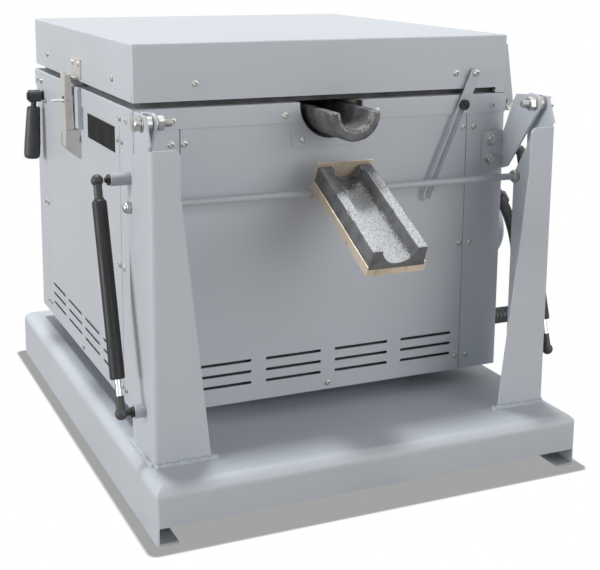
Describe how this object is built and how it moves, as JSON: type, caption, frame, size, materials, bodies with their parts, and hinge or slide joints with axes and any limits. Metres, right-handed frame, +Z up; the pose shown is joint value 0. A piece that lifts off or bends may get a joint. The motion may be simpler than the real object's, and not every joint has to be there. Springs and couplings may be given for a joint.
{
  "type": "electric gold melting furnace",
  "caption": "Bench electric melting furnace: crucible box on a base tips forward on two pivots to pour over a launder; hinged lid with stay, latch, struts.",
  "frame": {"origin": "on the floor, at the middle of the overall width and depth of the object, struts, hose and launder included", "axes": "+X to the right seen from the pouring side, +Y to the rear, +Z up; the launder points to -Y"},
  "size_m": [0.635, 0.7736, 0.562],
  "materials": {
    "paint": "smooth light grey powder coat",
    "paint_dark": "satin black",
    "zinc": "zinc plated, satin",
    "steel": "bare steel",
    "tarnished": "heat-tinted steel",
    "chrome": "polished hard chrome",
    "fibre": "ceramic fibre board, matt",
    "graphite": "graphite clay, matt",
    "clay": "graphite clay with a pale wash, matt",
    "rubber": "matt",
    "plastic": "matt black"
  },
  "bodies": {
    "base": {"base_pan": "paint", "upright_left": "paint", "upright_right": "paint", "pivot_bolts": "zinc", "pivot_hardware": "zinc", "cross_bar": "paint", "cross_bar_nuts": "zinc", "rest_buffers": "rubber", "strut_low_spacers": "paint", "strut_low_studs": "paint_dark"},
    "launder": {"launder_block": "clay", "launder_tray": "tarnished"},
    "lid": {"lid_shell": "paint", "lid_insulation": "fibre", "lid_hinge_brackets": "paint", "latch_keeper": "steel", "lid_screws": "zinc", "stay_pivot": "zinc"},
    "stay": {"stay_bar": "paint"},
    "latch": {"latch_lever": "steel", "split_pin": "steel"},
    "handle": {"tilt_handle": "plastic"},
    "strut_left_lower": {"strut_left_rod": "chrome", "strut_left_lower_socket": "paint_dark"},
    "strut_left_upper": {"strut_left_cylinder": "paint_dark", "strut_left_upper_socket": "paint_dark"},
    "strut_right_lower": {"strut_right_rod": "chrome", "strut_right_lower_socket": "paint_dark"},
    "strut_right_upper": {"strut_right_cylinder": "paint_dark", "strut_right_upper_socket": "paint_dark"},
    "furnace": {"corner_posts": "paint", "panel_front": "paint", "panel_rear": "paint", "panel_left": "paint", "panel_right": "paint", "bottom_plate": "paint", "collar": "paint", "lining": "fibre", "heating_rods": "graphite", "crucible_stand": "fibre", "crucible": "graphite", "thermocouple": "steel", "pivot_arm_left": "paint", "pivot_arm_right": "paint", "arm_bolts": "zinc", "strut_up_spacers": "paint", "strut_up_studs": "paint_dark", "panel_screws": "zinc", "collar_screws": "zinc", "body_hinge_brackets": "paint", "hinge_pins": "zinc", "guide_screw": "paint_dark", "latch_block": "paint", "latch_base": "steel", "handle_stud": "plastic", "name_plate": "paint_dark", "terminal_housing": "paint", "hose_glands": "plastic", "supply_hose": "plastic", "rear_cover": "paint"}
  },
  "joints": [
    {"name": "furnace_tilt", "type": "hinge", "parent": "base", "child": "furnace", "pos_m": [-0.004, -0.26922, 0.477], "axis": [1, 0, 0], "range_deg": [0, 90]},
    {"name": "lid_hinge", "type": "hinge", "parent": "furnace", "child": "lid", "pos_m": [0.27, 0.07778, 0.4655], "axis": [0, 1, 0], "range_deg": [0, 90]},
    {"name": "stay_swing", "type": "hinge", "parent": "lid", "child": "stay", "pos_m": [0.208, -0.19822, 0.512], "axis": [0, 1, 0], "range_deg": [-50, 0]},
    {"name": "latch_swing", "type": "hinge", "parent": "furnace", "child": "latch", "pos_m": [-0.2835, 0.07778, 0.408], "axis": [0, -1, 0], "range_deg": [0, 100]},
    {"name": "handle_swing", "type": "hinge", "parent": "furnace", "child": "handle", "pos_m": [-0.286, 0.30378, 0.444], "axis": [1, 0, 0], "range_deg": [-100, 100]},
    {"name": "launder_swing", "type": "hinge", "parent": "base", "child": "launder", "pos_m": [-0.004, -0.21822, 0.37], "axis": [1, 0, 0], "range_deg": [-15, 20]},
    {"name": "strut_left_swing", "type": "hinge", "parent": "base", "child": "strut_left_lower", "pos_m": [-0.3085, -0.26322, 0.131], "axis": [1, 0, 0], "range_deg": [0, 10]},
    {"name": "strut_left_slide", "type": "slide", "parent": "strut_left_lower", "child": "strut_left_upper", "axis": [0, 0.3109, 0.9505], "range_m": [0, 0.17]},
    {"name": "strut_right_swing", "type": "hinge", "parent": "base", "child": "strut_right_lower", "pos_m": [0.3005, -0.26322, 0.131], "axis": [1, 0, 0], "range_deg": [0, 10]},
    {"name": "strut_right_slide", "type": "slide", "parent": "strut_right_lower", "child": "strut_right_upper", "axis": [0, 0.3109, 0.9505], "range_m": [0, 0.17]}
  ],
  "couplings": [
    {"joint": "stay_swing", "follows": "lid_hinge", "ratio": -0.5335},
    {"joint": "strut_left_swing", "follows": "furnace_tilt", "ratio": 0.09492},
    {"joint": "strut_left_slide", "follows": "furnace_tilt", "m_per_rad": 0.10525},
    {"joint": "strut_right_swing", "follows": "furnace_tilt", "ratio": 0.09492},
    {"joint": "strut_right_slide", "follows": "furnace_tilt", "m_per_rad": 0.10525}
  ]
}
